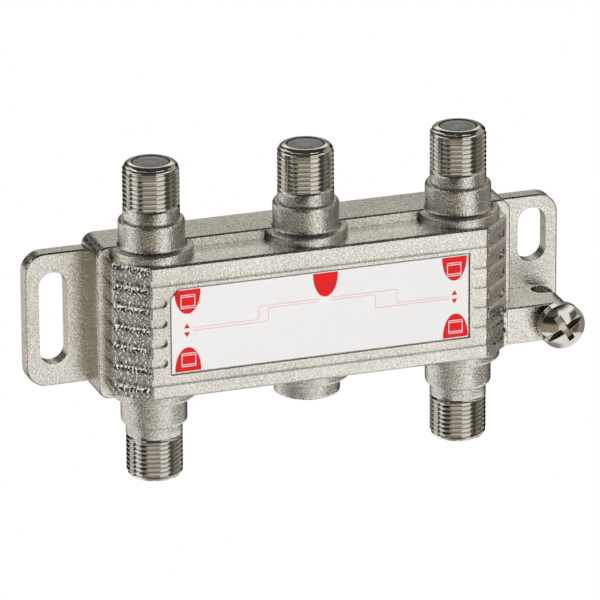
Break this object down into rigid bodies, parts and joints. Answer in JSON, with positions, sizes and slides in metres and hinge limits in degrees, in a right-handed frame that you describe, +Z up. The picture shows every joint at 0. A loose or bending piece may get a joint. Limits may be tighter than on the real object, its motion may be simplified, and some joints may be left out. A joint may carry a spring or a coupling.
{
  "type": "coaxial splitter",
  "caption": "Flat die-cast signal splitter with threaded coaxial ports above and below, slotted mounting ears and a ground clamp screw.",
  "frame": {"origin": "centre of the back face, on the wall", "axes": "+X along the width to the right, +Y into the wall, +Z up, so the label faces -Y"},
  "size_m": [0.0948, 0.0162, 0.0554],
  "materials": {
    "nickel": "nickel plating over a grainy casting",
    "tinplate": "plain tinned sheet",
    "label": "white film with printed fields",
    "screw_steel": "polished nickel plating",
    "insulator": "grey moulded plastic",
    "contact_brass": "bare spring brass",
    "board": "green glass-filled laminate",
    "ferrite": "dark sintered ferrite",
    "enamelled_wire": "clear red enamel",
    "chip_ceramic": "matt ceramic",
    "chip_plastic": "black moulded epoxy"
  },
  "bodies": {
    "splitter": {"housing": "nickel", "back_cover": "tinplate", "label_plate": "label", "circuit_board": "board", "insulator_out_1": "insulator", "contact_out_1": "contact_brass", "capacitor_out_1": "chip_ceramic", "choke_out_1": "ferrite", "diode_out_1": "chip_plastic", "insulator_in": "insulator", "contact_in": "contact_brass", "capacitor_in": "chip_ceramic", "insulator_out_2": "insulator", "contact_out_2": "contact_brass", "capacitor_out_2": "chip_ceramic", "choke_out_2": "ferrite", "diode_out_2": "chip_plastic", "insulator_out_3": "insulator", "contact_out_3": "contact_brass", "capacitor_out_3": "chip_ceramic", "choke_out_3": "ferrite", "diode_out_3": "chip_plastic", "insulator_out_4": "insulator", "contact_out_4": "contact_brass", "capacitor_out_4": "chip_ceramic", "choke_out_4": "ferrite", "diode_out_4": "chip_plastic", "core_input": "ferrite", "winding_input": "enamelled_wire", "core_first": "ferrite", "winding_first": "enamelled_wire", "resistor_first": "chip_ceramic", "core_left": "ferrite", "winding_left": "enamelled_wire", "resistor_left": "chip_ceramic", "core_right": "ferrite", "winding_right": "enamelled_wire", "resistor_right": "chip_ceramic"},
    "screw": {"ground_screw": "screw_steel"}
  },
  "joints": [
    {"name": "ground_screw_travel", "type": "slide", "parent": "splitter", "child": "screw", "axis": [0, -1, 0], "range_m": [-0.00124, 0.004]}
  ]
}
